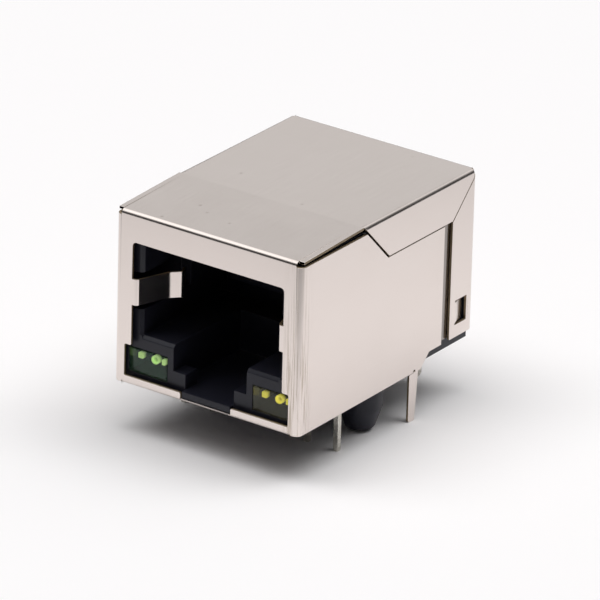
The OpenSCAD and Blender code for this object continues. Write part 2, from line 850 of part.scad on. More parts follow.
// Lead that carries the reflector cup on a yoke, with a short prong beside it
module cup_lead(x, grow = 0) {
    g = [grow, grow, grow];
    half = lead_t / 2;
    lead(x + lead_pitch / 2, yoke_y, grow);
    block(
        [x - half, yoke_y - half, lamp_mid_z - half] - g,
        [x + lead_pitch / 2 + half, yoke_y + half, lamp_mid_z + half] + g
    );
    block(
        [x + prong_x - prong_t / 2, frame_y, lamp_mid_z - half] - g,
        [x + prong_x + prong_t / 2, yoke_y, lamp_mid_z + half] + g
    );
    translate([x, frame_y - grow, lamp_mid_z]) rotate([-90, 0, 0]) difference() {
        cylinder(r = cup_r + grow, h = yoke_y - frame_y + 2 * grow);
        if (grow == 0) translate([0, 0, -join]) cylinder(r1 = cup_r * 0.8, r2 = cup_r * 0.4, h = cup_r);
    }
}

module lamp(s, tint) {
    x = s * lamp_x;
    color(tint) difference() {
        block([x - lamp_w / 2, lamp_y, lamp_z], [x + lamp_w / 2, lamp_back_y, lamp_z + lamp_h]);
        post_lead(x, frame_gap);
        cup_lead(x, frame_gap);
    }
}

// ---- The pieces ----

shield();
housing();
contact_block();
contact(0);  // contact_1
contact(1);  // contact_2
contact(2);  // contact_3
contact(3);  // contact_4
contact(4);  // contact_5
contact(5);  // contact_6
contact(6);  // contact_7
contact(7);  // contact_8
circuit_board();
resistor(0);  // resistor_1
resistor(1);  // resistor_2
resistor(2);  // resistor_3
resistor(3);  // resistor_4
capacitor();
coil_carrier();
ring_core(0);  // ring_core_1
ring_core(1);  // ring_core_2
ring_core(2);  // ring_core_3
ring_core(3);  // ring_core_4
ring_core(4);  // ring_core_5
ring_core(5);  // ring_core_6
ring_core(6);  // ring_core_7
ring_core(7);  // ring_core_8
signal_pin(0);  // signal_pin_1
signal_pin(1);  // signal_pin_2
signal_pin(2);  // signal_pin_3
signal_pin(3);  // signal_pin_4
signal_pin(4);  // signal_pin_5
signal_pin(5);  // signal_pin_6
signal_pin(6);  // signal_pin_7
signal_pin(7);  // signal_pin_8
lamp(-1, [0.3, 0.5, 0.35]);  // lamp_left
lamp(1, [0.5, 0.48, 0.2]);  // lamp_right
color(tin) post_lead(-lamp_x);  // lamp_left_post
color(tin) cup_lead(-lamp_x);  // lamp_left_cup
color(tin) post_lead(lamp_x);  // lamp_right_post
color(tin) cup_lead(lamp_x);  // lamp_right_cup
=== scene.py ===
import math

import bmesh
import bpy
import numpy as np
from mathutils import Matrix, Vector
from mathutils.bvhtree import BVHTree


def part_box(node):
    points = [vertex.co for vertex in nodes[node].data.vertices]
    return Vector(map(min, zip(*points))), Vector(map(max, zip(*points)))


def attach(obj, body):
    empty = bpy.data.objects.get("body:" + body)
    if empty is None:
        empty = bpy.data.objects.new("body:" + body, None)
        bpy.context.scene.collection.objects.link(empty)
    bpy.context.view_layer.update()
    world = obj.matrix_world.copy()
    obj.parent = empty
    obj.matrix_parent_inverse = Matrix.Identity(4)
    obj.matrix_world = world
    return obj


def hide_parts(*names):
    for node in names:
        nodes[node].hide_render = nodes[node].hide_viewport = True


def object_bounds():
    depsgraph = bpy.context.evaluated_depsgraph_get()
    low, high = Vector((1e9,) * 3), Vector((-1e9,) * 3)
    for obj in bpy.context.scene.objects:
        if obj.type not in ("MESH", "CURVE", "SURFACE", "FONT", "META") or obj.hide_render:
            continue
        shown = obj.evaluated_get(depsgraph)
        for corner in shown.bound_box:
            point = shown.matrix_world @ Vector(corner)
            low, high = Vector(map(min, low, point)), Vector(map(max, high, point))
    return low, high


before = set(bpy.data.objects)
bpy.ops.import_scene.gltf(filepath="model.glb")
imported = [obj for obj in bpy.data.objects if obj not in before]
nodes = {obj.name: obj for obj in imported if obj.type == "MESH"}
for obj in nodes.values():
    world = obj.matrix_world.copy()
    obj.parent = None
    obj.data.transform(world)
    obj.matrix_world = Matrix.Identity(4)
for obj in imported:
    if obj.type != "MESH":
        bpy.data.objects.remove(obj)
cadLow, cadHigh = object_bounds()
mm = 0.001
scene = bpy.context.scene
print("frame loaded:", len(nodes), "nodes")

cameraSet = {
    "azimuth": 34.93,  # degrees round from the mouth's side
    "elevation": 23.75,
    "roll": 1.53,
    "aim": (0.828 * mm, -0.784 * mm, 5.296 * mm),
    "distance": 543.2 * mm,
    "lens": 462.0,
}


def makeCamera(c):
    a, e = math.radians(c["azimuth"]), math.radians(c["elevation"])
    back = Vector((math.sin(a) * math.cos(e), -math.cos(a) * math.cos(e), math.sin(e)))
    data = bpy.data.cameras.new("camera")
    data.lens, data.sensor_width = c["lens"], 36.0
    data.clip_start, data.clip_end = 0.05, 20.0
    camera = bpy.data.objects.new("camera", data)
    scene.collection.objects.link(camera)
    camera.location = Vector(c["aim"]) + back * c["distance"]
    roll = Matrix.Rotation(math.radians(c["roll"]), 3, "Z")
    turn = (-back).to_track_quat("-Z", "Y").to_matrix() @ roll
    camera.rotation_euler = turn.to_euler()
    scene.camera = camera


makeCamera(cameraSet)
print("camera placed")


def node(tree, kind, inputs=None, **settings):
    made = tree.nodes.new("ShaderNode" + kind)
    for key, value in settings.items():
        setattr(made, key, value)
    for key, value in (inputs or {}).items():
        if isinstance(value, bpy.types.NodeSocket):
            tree.links.new(value, made.inputs[key])
        else:
            made.inputs[key].default_value = value
    return made


def maths(tree, operation, a, b=0.0, clamp=False):
    return node(tree, "Math", {0: a, 1: b}, operation=operation, use_clamp=clamp).outputs[0]


def remap(tree, value, fromLow, fromHigh, toLow=0.0, toHigh=1.0, smooth=False):
    made = node(tree, "MapRange", {0: value, 1: fromLow, 2: fromHigh, 3: toLow, 4: toHigh})
    if smooth:
        made.interpolation_type = "SMOOTHSTEP"
    return made.outputs[0]


def blend(tree, factor, a, b):
    made = node(tree, "Mix", data_type="RGBA")
    for index, value in ((0, factor), (6, a), (7, b)):
        if isinstance(value, bpy.types.NodeSocket):
            tree.links.new(value, made.inputs[index])
        else:
            made.inputs[index].default_value = value if index == 0 else (*value, 1.0)
    return made.outputs[2]


def blendValue(tree, factor, a, b):
    made = node(tree, "Mix", data_type="FLOAT")
    for index, value in ((0, factor), (2, a), (3, b)):
        if isinstance(value, bpy.types.NodeSocket):
            tree.links.new(value, made.inputs[index])
        else:
            made.inputs[index].default_value = value
    return made.outputs[0]


def noise(tree, vector, scale, detail=2.0, roughness=0.5):
    given = {"Vector": vector, "Scale": scale, "Detail": detail, "Roughness": roughness}
    return node(tree, "TexNoise", given).outputs[0]


def newGroup(name, inputs, outputs):
    group = bpy.data.node_groups.new(name, "ShaderNodeTree")
    kind = {"socket_type": "NodeSocketFloat"}
    for label, value in inputs.items():
        group.interface.new_socket(label, in_out="INPUT", **kind).default_value = value
    for label in outputs:
        group.interface.new_socket(label, in_out="OUTPUT", **kind)
    return group, group.nodes.new("NodeGroupInput"), group.nodes.new("NodeGroupOutput")


def rolledSheetGroup():
    # plated sheet as it leaves the rolls: fine grain, faint clouds and long streaks along the
    # rolling direction, which turn down with the sheet on faces that look along Y
    group, given, out = newGroup(
        "rolledSheet",
        {"Grain": 9.0, "Cloud": 0.35, "Streak": 0.5},
        ("Tone", "Rough", "Height", "Streaks"),
    )
    place = node(group, "TexCoord").outputs["Object"]
    normal = node(group, "NewGeometry").outputs["Normal"]
    facing = node(group, "SeparateXYZ", {0: normal}).outputs["Y"]
    turned = remap(group, maths(group, "ABSOLUTE", facing), 0.1, 0.3)
    along = node(group, "Mapping", {"Vector": place, "Scale": (1.0, 0.03, 1.0)}).outputs[0]
    down = node(group, "Mapping", {"Vector": place, "Scale": (1.0, 1.0, 0.03)}).outputs[0]
    streakAlong = noise(group, along, 8000.0, 2.0, 0.6)
    streakDown = noise(group, down, 8000.0, 2.0, 0.6)
    keep = maths(group, "MULTIPLY", streakAlong, maths(group, "SUBTRACT", 1.0, turned))
    streak = maths(group, "ADD", keep, maths(group, "MULTIPLY", streakDown, turned))
    grain = noise(group, place, maths(group, "MULTIPLY", given.outputs["Grain"], 1000.0), 3.0, 0.6)
    cloud = noise(group, place, maths(group, "MULTIPLY", given.outputs["Cloud"], 1000.0), 3.0, 0.5)
    drawn = blendValue(group, given.outputs["Streak"], grain, streak)
    tone = blendValue(group, 0.4, drawn, cloud)
    group.links.new(tone, out.inputs["Tone"])
    group.links.new(blendValue(group, 0.6, drawn, cloud), out.inputs["Rough"])
    group.links.new(drawn, out.inputs["Height"])
    group.links.new(streakDown, out.inputs["Streaks"])
    return group


def mouldGrainGroup():
    # spark-eroded tool surface, with slow flow shading
    group, given, out = newGroup(
        "mouldGrain", {"Grain": 14.0, "Flow": 0.6}, ("Tone", "Rough", "Height")
    )
    place = node(group, "TexCoord").outputs["Object"]
    cell = node(
        group,
        "TexVoronoi",
        {"Vector": place, "Scale": maths(group, "MULTIPLY", given.outputs["Grain"], 1000.0)},
        feature="SMOOTH_F1",
    ).outputs["Distance"]
    grain = noise(group, place, maths(group, "MULTIPLY", given.outputs["Grain"], 600.0), 3.0, 0.6)
    flow = noise(group, place, maths(group, "MULTIPLY", given.outputs["Flow"], 1000.0), 2.0)

    def shared(a, b, share):
        rest = maths(group, "MULTIPLY", b, 1 - share)
        return maths(group, "ADD", maths(group, "MULTIPLY", a, share), rest)

    group.links.new(shared(flow, grain, 0.6), out.inputs["Tone"])
    group.links.new(shared(flow, cell, 0.5), out.inputs["Rough"])
    group.links.new(shared(cell, grain, 0.6), out.inputs["Height"])
    return group


def specksGroup():
    # loose dust and moulding specks: small dots that gather in patches
    group, given, out = newGroup("specks", {"Size": 3.0, "Amount": 0.5}, ("Mask",))
    place = node(group, "TexCoord").outputs["Object"]
    scale = maths(group, "MULTIPLY", given.outputs["Size"], 1000.0)
    dots = node(group, "TexVoronoi", {"Vector": place, "Scale": scale})
    near = remap(group, dots.outputs["Distance"], 0.05, 0.16, 1.0, 0.0)
    pick = node(group, "SeparateColor", {"Color": dots.outputs["Color"]}).outputs[0]
    limit = maths(group, "SUBTRACT", 1.0, maths(group, "MULTIPLY", given.outputs["Amount"], 0.3))
    some = maths(group, "GREATER_THAN", pick, limit)
    patch = remap(group, noise(group, place, 500.0, 2.0), 0.4, 0.6)
    mask = maths(group, "MULTIPLY", maths(group, "MULTIPLY", near, some), patch, clamp=True)
    group.links.new(mask, out.inputs["Mask"])
    return group


# each group gives masks and heights, and the shader stays in the material
groups = {"sheet": rolledSheetGroup(), "mould": mouldGrainGroup(), "specks": specksGroup()}


def useGroup(tree, name, **values):
    made = tree.nodes.new("ShaderNodeGroup")
    made.node_tree = groups[name]
    for key, value in values.items():
        made.inputs[key].default_value = value
    return made.outputs


def newMaterial(name, **constants):
    material = bpy.data.materials.new(name)
    material.use_nodes = True
    shader = material.node_tree.nodes["Principled BSDF"]
    for key, value in constants.items():
        shader.inputs[key].default_value = value
    return material, material.node_tree, shader


def bumped(tree, shader, height, distance):
    bump = node(tree, "Bump", {"Height": height, "Distance": distance, "Strength": 1.0})
    tree.links.new(bump.outputs[0], shader.inputs["Normal"])


sheetLook = {
    "plate": (0.80, 0.725, 0.685),
    "plateDark": (0.755, 0.68, 0.64),
    "cut": (0.34, 0.26, 0.16),  # base metal on the punched edges
    "cutDark": (0.17, 0.12, 0.07),
    "speck": (0.30, 0.25, 0.20),
    "rub": (0.50, 0.43, 0.36),  # plating rubbed by handling at the front right bend
    "roughness": (0.15, 0.24),
    "grainDepth": 0.0005 * mm,
}


def tinnedSheet(name, s, lift=1.0):
    material, tree, shader = newMaterial(name)
    sheet = useGroup(tree, "sheet", Grain=8.0, Cloud=0.25, Streak=0.5)
    specks = useGroup(tree, "specks", Size=0.9, Amount=0.3)
    plate, dark = (tuple(v * lift for v in s[key]) for key in ("plate", "plateDark"))
    colour = blend(tree, remap(tree, sheet["Tone"], 0.38, 0.62), dark, plate)
    colour = blend(tree, maths(tree, "MULTIPLY", specks["Mask"], 0.35), colour, s["speck"])
    place = node(tree, "SeparateXYZ", {0: node(tree, "TexCoord").outputs["Object"]}).outputs
    bend = remap(tree, place["X"], 6.3 * mm, 7.2 * mm, smooth=True)
    fore = remap(tree, place["Y"], -9.2 * mm, -10.4 * mm, smooth=True)
    bend = maths(tree, "MULTIPLY", bend, fore)
    bend = maths(tree, "MULTIPLY", bend, remap(tree, place["Z"], 11 * mm, 4 * mm, 0.3, 1.0))
    rub = maths(tree, "MULTIPLY", bend, remap(tree, sheet["Streaks"], 0.48, 0.60))
    colour = blend(tree, maths(tree, "MULTIPLY", rub, 0.8), colour, s["rub"])
    edge = node(tree, "Attribute", attribute_name="cutEdge").outputs["Fac"]
    metal = maths(tree, "SUBTRACT", 1.0, maths(tree, "MULTIPLY", edge, 0.55))
    tree.links.new(metal, shader.inputs["Metallic"])
    burr = blend(tree, remap(tree, sheet["Tone"], 0.35, 0.65), s["cutDark"], s["cut"])
    tree.links.new(blend(tree, edge, colour, burr), shader.inputs["Base Color"])
    low, high = s["roughness"]
    rough = remap(tree, sheet["Rough"], 0.35, 0.65, low, high)
    rubbed = maths(tree, "MULTIPLY", rub, 0.12)
    worn = maths(tree, "ADD", maths(tree, "MULTIPLY", edge, 0.22), rubbed)
    tree.links.new(maths(tree, "ADD", rough, worn), shader.inputs["Roughness"])
    height = maths(tree, "SUBTRACT", sheet["Height"], maths(tree, "MULTIPLY", rub, 1.5))
    bumped(tree, shader, height, s["grainDepth"])
    return material


plasticLook = {
    "base": (0.0140, 0.0145, 0.0225),
    "pale": (0.0210, 0.0215, 0.0330),
    "dust": (0.10, 0.10, 0.11),
    "roughness": (0.28, 0.38),
    "grainDepth": 0.002 * mm,
}


def blackMoulding(name, s, grain, lift=1.0):
    material, tree, shader = newMaterial(name, **{"Specular IOR Level": 0.3})
    mould = useGroup(tree, "mould", Grain=grain, Flow=0.5)
    specks = useGroup(tree, "specks", Size=2.4, Amount=0.2)
    base, pale = (tuple(v * lift for v in s[key]) for key in ("base", "pale"))
    colour = blend(tree, remap(tree, mould["Tone"], 0.35, 0.7), base, pale)
    colour = blend(tree, maths(tree, "MULTIPLY", specks["Mask"], 0.5), colour, s["dust"])
    tree.links.new(colour, shader.inputs["Base Color"])
    low, high = s["roughness"]
    tree.links.new(remap(tree, mould["Rough"], 0.2, 0.7, low, high), shader.inputs["Roughness"])
    bumped(tree, shader, mould["Height"], s["grainDepth"])
    return material


pinLook = {
    "tin": (0.72, 0.69, 0.63),
    "tinDark": (0.50, 0.47, 0.40),
    "gold": (0.86, 0.60, 0.25),
    "goldDark": (0.66, 0.42, 0.14),
    "grainDepth": 0.002 * mm,
}


def tinnedPin(name, s):
    material, tree, shader = newMaterial(name, Metallic=1.0)
    sheet = useGroup(tree, "sheet", Grain=6.0, Cloud=1.1, Streak=0.3)
    colour = blend(tree, remap(tree, sheet["Tone"], 0.35, 0.65), s["tinDark"], s["tin"])
    tree.links.new(colour, shader.inputs["Base Color"])
    tree.links.new(remap(tree, sheet["Rough"], 0.3, 0.7, 0.18, 0.36), shader.inputs["Roughness"])
    bumped(tree, shader, sheet["Height"], s["grainDepth"])
    return material


def goldContact(s):
    # selective plating: gold on the sprung arm, tin on the tail by the small board
    material, tree, shader = newMaterial("goldContact", Metallic=1.0)
    sheet = useGroup(tree, "sheet", Grain=10.0, Cloud=0.8, Streak=0.5)
    place = node(tree, "SeparateXYZ", {0: node(tree, "TexCoord").outputs["Object"]}).outputs["Y"]
    wander = maths(tree, "MULTIPLY", maths(tree, "SUBTRACT", sheet["Tone"], 0.5), 0.4 * mm)
    tail = remap(tree, maths(tree, "ADD", place, wander), -0.6 * mm, -0.4 * mm)
    gold = blend(tree, remap(tree, sheet["Tone"], 0.35, 0.65), s["goldDark"], s["gold"])
    tree.links.new(blend(tree, tail, gold, s["tin"]), shader.inputs["Base Color"])
    tree.links.new(remap(tree, sheet["Rough"], 0.3, 0.7, 0.14, 0.26), shader.inputs["Roughness"])
    bumped(tree, shader, sheet["Height"], s["grainDepth"])
    return material


frameLook = {
    "green": (0.60, 0.90, 0.30),
    "yellow": (0.95, 0.86, 0.10),
    "silver": (0.80, 0.78, 0.72),
    "silverDark": (0.55, 0.52, 0.46),
    # painted glow: emission on the leads' front ends standing in for light the resin gathers;
    # paintedDim is the painted shade on the rest of the leads inside
    "paintedGlow": 0.75,  # light that the resin gathers on the front ends
    "paintedDim": 0.10,
}


def lampFrame(name, tint, s):
    # silvered leads; inside the lamp's body they take the resin's tint, with painted shade over
    # most of their length and a painted highlight and painted glow at their front ends
    material, tree, shader = newMaterial(name)
    sheet = useGroup(tree, "sheet", Grain=7.0, Cloud=1.2, Streak=0.4)
    place = node(tree, "TexCoord").outputs["Object"]
    apart = node(tree, "SeparateXYZ", {0: place}).outputs
    low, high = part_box("lamp_left")
    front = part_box("lamp_left_cup")[0][1]
    inside = remap(tree, apart["Y"], high[1], high[1] - 0.05 * mm)
    inside = maths(tree, "MULTIPLY", inside, remap(tree, apart["Z"], low[2], low[2] + 0.05 * mm))
    # painted highlight: full brightness on the leads' front ends high up, the rest at the painted
    # dim level
    paintedBright = remap(tree, apart["Y"], front + 0.45 * mm, front + 0.1 * mm)
    paintedBright = maths(tree, "MULTIPLY", paintedBright, remap(tree, apart["Z"], 1.5 * mm, 1.75 * mm))
    shown = blendValue(tree, paintedBright, s["paintedDim"], 1.0)
    # the resin's tint, scaled by the painted light level
    tintWithPaintedLight = node(tree, "VectorMath", {0: tint}, operation="SCALE")
    tree.links.new(shown, tintWithPaintedLight.inputs["Scale"])
    silver = blend(tree, remap(tree, sheet["Tone"], 0.35, 0.65), s["silverDark"], s["silver"])
    tree.links.new(blend(tree, inside, silver, tintWithPaintedLight.outputs[0]), shader.inputs["Base Color"])
    metal = maths(tree, "SUBTRACT", 1.0, maths(tree, "MULTIPLY", inside, 0.8))
    tree.links.new(metal, shader.inputs["Metallic"])
    rough = remap(tree, sheet["Rough"], 0.3, 0.7, 0.18, 0.34)
    rough = maths(tree, "ADD", rough, maths(tree, "MULTIPLY", inside, 0.25))
    tree.links.new(rough, shader.inputs["Roughness"])
    # painted glow: emission on the bright front ends, though the lamp is not lit
    paintedGlow = node(tree, "VectorMath", {0: tint}, operation="SCALE")
    lit = maths(tree, "MULTIPLY", maths(tree, "MULTIPLY", inside, paintedBright), s["paintedGlow"])
    tree.links.new(lit, paintedGlow.inputs["Scale"])
    tree.links.new(paintedGlow.outputs[0], shader.inputs["Emission Color"])
    shader.inputs["Emission Strength"].default_value = 1.0
    bumped(tree, shader, sheet["Height"], 0.0015 * mm)
    return material


resinLook = {
    "green": {"body": (0.030, 0.085, 0.052), "haze": (0.050, 0.115, 0.075)},
    "yellow": {"body": (0.070, 0.070, 0.040), "haze": (0.100, 0.098, 0.060)},
    "veil": (0.38, 0.46),  # how much the resin hides of what lies inside it
}


def tintedResin(name, s, veil):
    # clear stained resin as a thin even veil, so that the leads inside show in their places
    constants = {"IOR": 1.53, "Coat Weight": 0.6, "Coat Roughness": 0.04}
    material, tree, shader = newMaterial(name, **constants)
    mould = useGroup(tree, "mould", Grain=3.0, Flow=0.9)
    colour = blend(tree, remap(tree, mould["Tone"], 0.35, 0.65), s["body"], s["haze"])
    tree.links.new(colour, shader.inputs["Base Color"])
    tree.links.new(remap(tree, mould["Tone"], 0.3, 0.7, *veil), shader.inputs["Alpha"])
    tree.links.new(remap(tree, mould["Rough"], 0.2, 0.7, 0.06, 0.14), shader.inputs["Roughness"])
    bumped(tree, shader, mould["Height"], 0.0003 * mm)
    return material


boardLook = {
    "mask": (0.012, 0.075, 0.030),
    "track": (0.030, 0.150, 0.055),
    "ferrite": (0.030, 0.028, 0.030),
    "red": (0.42, 0.055, 0.020),
    "green": (0.05, 0.22, 0.07),
    "tan": (0.42, 0.29, 0.17),
    "black": (0.018, 0.018, 0.020),
    "endCap": (0.62, 0.60, 0.56),
}


def solderMask(s):
    # tracks show as paler lanes under the mask
    constants = {"Coat Weight": 0.6, "Coat Roughness": 0.12}
    material, tree, shader = newMaterial("solderMask", **constants)
    mould = useGroup(tree, "mould", Grain=8.0, Flow=1.0)
    place = node(tree, "TexCoord").outputs["Object"]
    lanes = node(
        tree,
        "TexWave",
        {"Vector": place, "Scale": 250.0, "Distortion": 3.0, "Detail": 1.0, "Detail Scale": 0.6},
        wave_type="BANDS",
        bands_direction="DIAGONAL",
    ).outputs["Fac"]
    lane = remap(tree, lanes, 0.66, 0.7)
    tree.links.new(blend(tree, lane, s["mask"], s["track"]), shader.inputs["Base Color"])
    tree.links.new(remap(tree, mould["Rough"], 0.2, 0.7, 0.28, 0.45), shader.inputs["Roughness"])
    height = maths(tree, "ADD", lane, maths(tree, "MULTIPLY", mould["Height"], 0.3))
    bumped(tree, shader, height, 0.012 * mm)
    return material


def enamel(name, colour):
    constants = {"Metallic": 0.35, "Coat Weight": 0.8, "Coat Roughness": 0.1}
    material, tree, shader = newMaterial(name, **constants)
    sheet = useGroup(tree, "sheet", Grain=8.0, Cloud=1.5, Streak=0.3)
    dark = tuple(v * 0.55 for v in colour)
    tone = remap(tree, sheet["Tone"], 0.35, 0.65)
    tree.links.new(blend(tree, tone, dark, colour), shader.inputs["Base Color"])
    tree.links.new(remap(tree, sheet["Rough"], 0.3, 0.7, 0.25, 0.4), shader.inputs["Roughness"])
    bumped(tree, shader, sheet["Height"], 0.002 * mm)
    return material


def firedBody(name, colour, s):
    # ceramic or ferrite; where the endCap attribute is 1 it is a tinned cap
    material, tree, shader = newMaterial(name)
    mould = useGroup(tree, "mould", Grain=11.0, Flow=1.2)
    pale = tuple(min(1.0, v * 1.5 + 0.01) for v in colour)
    body = blend(tree, remap(tree, mould["Tone"], 0.35, 0.65), colour, pale)
    cap = node(tree, "Attribute", attribute_name="endCap").outputs["Fac"]
    tree.links.new(blend(tree, cap, body, s["endCap"]), shader.inputs["Base Color"])
    tree.links.new(cap, shader.inputs["Metallic"])
    tree.links.new(remap(tree, mould["Rough"], 0.2, 0.7, 0.35, 0.6), shader.inputs["Roughness"])
    bumped(tree, shader, mould["Height"], 0.004 * mm)
    return material


materials = {
    "shield": tinnedSheet("tinnedSheet", sheetLook),
    # the same plating at 0.4 brightness: painted shade for the metal in the slot
    "tongue": tinnedSheet("shadedSheet", sheetLook, 0.4),
    "housing": blackMoulding("housingMoulding", plasticLook, 14.0),
    "insert": blackMoulding("insertMoulding", plasticLook, 10.0, 1.5),
    "contact": goldContact(pinLook),
    "pin": tinnedPin("signalPinTin", pinLook),
    "frameGreen": lampFrame("lampFrameGreen", frameLook["green"], frameLook),
    "frameYellow": lampFrame("lampFrameYellow", frameLook["yellow"], frameLook),
    "resinGreen": tintedResin("resinGreen", resinLook["green"], resinLook["veil"]),
    "resinYellow": tintedResin("resinYellow", resinLook["yellow"], resinLook["veil"]),
    "board": solderMask(boardLook),
    "solder": tinnedPin("solderFillet", pinLook),
    "ferrite": firedBody("ferriteCore", boardLook["ferrite"], boardLook),
    "wireRed": enamel("enamelRed", boardLook["red"]),
    "wireGreen": enamel("enamelGreen", boardLook["green"]),
    "capacitor": firedBody("capacitorBody", boardLook["tan"], boardLook),
    "resistor": firedBody("resistorBody", boardLook["black"], boardLook),
}
print("materials made:", len(materials))


softSet = {
    "weld": 0.0005 * mm,
    "flat": math.radians(0.6),  # faces within this angle are joined again
    "thin": 0.0005 * mm,  # a sliver's area is under this share of its outline
    "sharp": math.radians(28),
}


def wholeCopy(name, s):
    # the node's loose triangles, merged, with flat areas joined again and slivers taken up
    work = bmesh.new()
    work.from_mesh(nodes[name].data)
    bmesh.ops.remove_doubles(work, verts=work.verts, dist=s["weld"])
    bmesh.ops.dissolve_degenerate(work, edges=work.edges, dist=s["weld"])
    flatten = {"angle_limit": s["flat"]}
    bmesh.ops.dissolve_limit(work, verts=work.verts, edges=work.edges, **flatten)
    slivers = [f for f in work.faces if f.calc_area() < s["thin"] * f.calc_perimeter()]
    long = {max(f.edges, key=lambda e: e.calc_length()) for f in slivers}
    bmesh.ops.dissolve_edges(work, edges=list(long), use_verts=False)
    bmesh.ops.dissolve_limit(work, verts=work.verts, edges=work.edges, **flatten)
    bmesh.ops.recalc_face_normals(work, faces=work.faces)
    mesh = bpy.data.meshes.new(name + "Skin")
    work.to_mesh(mesh)
    work.free()
    return mesh


def addPiece(mesh, name, material, slotName, *replaced):
    mesh.materials.clear()
    mesh.materials.append(material)
    piece = bpy.data.objects.new(name, mesh)
    scene.collection.objects.link(piece)
    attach(piece, "root")
    if replaced:
        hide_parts(*replaced)
    return piece


def softenNode(name, pieceName, material, slotName, radius, prepare=None):
    mesh = wholeCopy(name, softSet)
    if prepare:
        prepare(mesh)
    mesh.polygons.foreach_set("use_smooth", np.ones(len(mesh.polygons), bool))
    mesh.set_sharp_from_angle(angle=softSet["sharp"])
    piece = addPiece(mesh, pieceName, material, slotName, name)
    bevel = piece.modifiers.new("edges", "BEVEL")
    bevel.width, bevel.segments = radius, 2
    bevel.limit_method, bevel.angle_limit = "ANGLE", softSet["sharp"]
    bevel.use_clamp_overlap = False
    bevel.miter_outer = "MITER_ARC"
    flat = piece.modifiers.new("flatFaces", "WEIGHTED_NORMAL")
    flat.mode, flat.weight, flat.keep_sharp = "FACE_AREA", 80, True


def markCutEdges(mesh):
    # a face is a punched edge where the metal behind its widest triangle is deeper than the
    # sheet is thick; the top's own faces never are
    sheet, topLow = 0.2 * mm, 13.3 * mm
    places = [v.co for v in mesh.vertices]
    tree = BVHTree.FromPolygons(places, [tuple(p.vertices) for p in mesh.polygons])
    mesh.calc_loop_triangles()
    count = len(mesh.loop_triangles)
    owner, corners = np.zeros(count, int), np.zeros(3 * count, int)
    area = np.zeros(count)
    mesh.loop_triangles.foreach_get("polygon_index", owner)
    mesh.loop_triangles.foreach_get("vertices", corners)
    mesh.loop_triangles.foreach_get("area", area)
    points = np.zeros(3 * len(mesh.vertices))
    mesh.vertices.foreach_get("co", points)
    centres = points.reshape(-1, 3)[corners.reshape(-1, 3)].mean(1)
    order = np.argsort(area)
    widest = np.zeros(len(mesh.polygons), int)
    widest[owner[order]] = order
    cut = np.zeros(len(mesh.polygons), np.float32)
    for face in mesh.polygons:
        start = Vector(centres[widest[face.index]]) - face.normal * 0.002 * mm
        hit = tree.ray_cast(start, -face.normal)
        outside = face.normal.z > 0.9 and face.center.z > topLow
        cut[face.index] = 0.0 if outside or (hit[0] and hit[3] < 1.35 * sheet) else 1.0
    mesh.attributes.new("cutEdge", "FLOAT", "FACE").data.foreach_set("value", cut)


def easeCrease(mesh):
    # a line across the flat top a little behind the fore slope's crease turns its shading gently
    crease, run = -3.45 * mm, 2.5 * mm
    work = bmesh.new()
    work.from_mesh(mesh)
    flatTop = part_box("shield")[1][2] - 0.01 * mm
    level = [f for f in work.faces if f.normal.z > 0.999]
    top = [f for f in level if f.calc_center_median().z > flatTop]
    edges = {e for f in top for e in f.edges}
    verts = {v for f in top for v in f.verts}
    bmesh.ops.bisect_plane(
        work,
        geom=[*top, *edges, *verts],
        dist=softSet["weld"],
        plane_co=(0, crease + run, 0),
        plane_no=(0, 1, 0),
    )
    work.to_mesh(mesh)
    work.free()
    markCutEdges(mesh)


softenNode("shield", "shieldSheet", materials["shield"], "shield_sheet", 0.028 * mm, easeCrease)
softenNode("housing", "housingBody", materials["housing"], "housing_plastic", 0.035 * mm)
softenNode("contact_block", "contactBlock", materials["insert"], "insert_plastic", 0.03 * mm)
softenNode("coil_carrier", "coilCarrier", materials["insert"], "insert_plastic", 0.05 * mm)
softenNode("circuit_board", "smallBoard", materials["board"], "board_green", 0.02 * mm)
for i in range(1, 9):
    softenNode(f"contact_{i}", f"springContact{i}", materials["contact"], "gold_contact", 0.03 * mm)
for side, finish in (("left", "frameGreen"), ("right", "frameYellow")):
    for part in ("post", "cup"):
        leadName = f"{side}Lamp{part.title()}"
        softenNode(f"lamp_{side}_{part}", leadName, materials[finish], "lamp_lead", 0.02 * mm)
print("CAD copies softened")


def gridFaces(rows, cols, wrapRows, wrapCols, first):
    # quads between neighbouring rows and columns of a grid whose points start at index first
    i, j = np.arange(rows - (not wrapRows)), np.arange(cols - (not wrapCols))
    i, j = np.meshgrid(i, j, indexing="ij")
    nextI, nextJ = (i + 1) % rows, (j + 1) % cols
    corners = (i * cols + j, nextI * cols + j, nextI * cols + nextJ, i * cols + nextJ)
    return first + np.stack(corners, -1).reshape(-1, 4)


